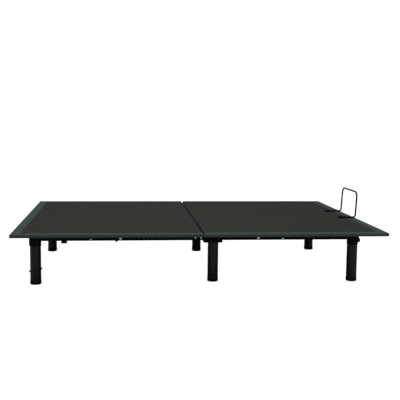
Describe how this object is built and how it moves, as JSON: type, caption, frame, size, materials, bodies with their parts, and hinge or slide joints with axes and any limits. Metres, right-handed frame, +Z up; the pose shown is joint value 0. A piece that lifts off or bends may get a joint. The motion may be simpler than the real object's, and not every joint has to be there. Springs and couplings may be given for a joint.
{
  "type": "adjustable bed base",
  "caption": "Electric adjustable bed base with fabric-covered deck panels that lift at head and foot, steel frame, round black legs and a mattress retainer bar.",
  "frame": {"origin": "on the floor, under the centre of the deck", "axes": "+X towards the foot end, +Y across the bed, +Z up"},
  "size_m": [2.038, 1.524, 0.4803],
  "materials": {
    "cover_fabric": "woven polyester cover over thin foam",
    "deck_board": "raw plywood",
    "frame_paint": "black powder coat",
    "leg_paint": "black satin paint",
    "zinc": "bright zinc plate",
    "bright_steel": "ground steel",
    "rubber": "matt moulded rubber",
    "black_plastic": "moulded, fine texture",
    "nylon": "natural nylon",
    "drive_paint": "satin black",
    "wire_coating": "black gloss powder coat"
  },
  "bodies": {
    "root": {"control_case": "black_plastic", "control_lid": "black_plastic", "control_sockets": "black_plastic", "cross_tubes": "frame_paint", "deck_bearers": "frame_paint", "deck_hinge_pins": "zinc", "end_tubes": "frame_paint", "fold_plates": "frame_paint", "foot_caps": "rubber", "foot_gear_case": "black_plastic", "foot_motor": "drive_paint", "foot_side_rails": "frame_paint", "guide_tubes": "drive_paint", "head_gear_case": "black_plastic", "head_motor": "drive_paint", "head_side_rails": "frame_paint", "hip_board": "deck_board", "hip_pad": "cover_fabric", "lead_screws": "bright_steel", "leg_collar": "black_plastic", "leg_lower_sections": "leg_paint", "leg_sockets": "frame_paint", "leg_studs": "zinc", "leg_upper_sections": "leg_paint", "lift_pivot_bolts": "zinc", "rail_bolts": "zinc", "rest_brackets": "frame_paint", "rest_bumpers": "rubber", "seat_board": "deck_board", "seat_pad": "cover_fabric", "storage_glides": "rubber"},
    "head_deck": {"head_board": "deck_board", "head_pad": "cover_fabric", "head_subframe": "frame_paint", "roller_tracks": "nylon"},
    "thigh_deck": {"thigh_board": "deck_board", "thigh_pad": "cover_fabric", "thigh_subframe": "frame_paint", "knee_hinge_pins": "zinc"},
    "calf_deck": {"calf_board": "deck_board", "calf_pad": "cover_fabric", "calf_subframe": "frame_paint", "arm_pins": "zinc", "retainer_bar": "wire_coating", "retainer_clamps": "wire_coating"},
    "head_lift": {"head_lift_tube": "frame_paint", "head_lift_arms": "frame_paint", "head_lift_bushes": "nylon", "head_drive_lever": "frame_paint", "roller_axles": "zinc"},
    "foot_lift": {"foot_lift_tube": "frame_paint", "foot_lift_arms": "frame_paint", "foot_lift_bushes": "nylon", "foot_drive_lever": "frame_paint"},
    "roller_left": {"roller_left": "nylon"},
    "roller_right": {"roller_right": "nylon"},
    "head_rod": {"head_rod_fork": "frame_paint", "head_push_rod": "bright_steel"},
    "foot_rod": {"foot_rod_fork": "frame_paint", "foot_push_rod": "bright_steel"}
  },
  "joints": [
    {"name": "head_tilt", "type": "hinge", "parent": "root", "child": "head_deck", "pos_m": [-0.305, 0, 0.296], "axis": [0, 1, 0], "range_deg": [0, 60]},
    {"name": "thigh_tilt", "type": "hinge", "parent": "root", "child": "thigh_deck", "pos_m": [0.082, 0, 0.296], "axis": [0, -1, 0], "range_deg": [0, 35]},
    {"name": "calf_level", "type": "hinge", "parent": "thigh_deck", "child": "calf_deck", "pos_m": [0.471, 0, 0.296], "axis": [0, 1, 0], "range_deg": [0, 35]},
    {"name": "head_lift_turn", "type": "hinge", "parent": "root", "child": "head_lift", "pos_m": [-0.441, 0, 0.257], "axis": [0, 1, 0], "range_deg": [0, 79.2]},
    {"name": "foot_lift_turn", "type": "hinge", "parent": "root", "child": "foot_lift", "pos_m": [0.3314, 0, 0.257], "axis": [0, -1, 0], "range_deg": [0, 35]},
    {"name": "roller_left_spin", "type": "hinge", "parent": "head_lift", "child": "roller_left", "pos_m": [-0.741, -0.3185, 0.257], "axis": [0, 1, 0], "continuous": true},
    {"name": "roller_right_spin", "type": "hinge", "parent": "head_lift", "child": "roller_right", "pos_m": [-0.741, 0.3185, 0.257], "axis": [0, 1, 0], "continuous": true},
    {"name": "head_push", "type": "slide", "parent": "root", "child": "head_rod", "axis": [-1, 0, 0], "range_m": [0, 0.12]},
    {"name": "foot_push", "type": "slide", "parent": "root", "child": "foot_rod", "axis": [1, 0, 0], "range_m": [0, 0.0565]}
  ],
  "couplings": [
    {"joint": "calf_level", "follows": "thigh_tilt", "ratio": 1},
    {"joint": "foot_lift_turn", "follows": "thigh_tilt", "ratio": 1},
    {"joint": "foot_push", "follows": "thigh_tilt", "m_per_rad": 0.092},
    {"joint": "head_lift_turn", "follows": "head_tilt", "ratio": 1.318},
    {"joint": "head_push", "follows": "head_tilt", "m_per_rad": 0.114}
  ]
}
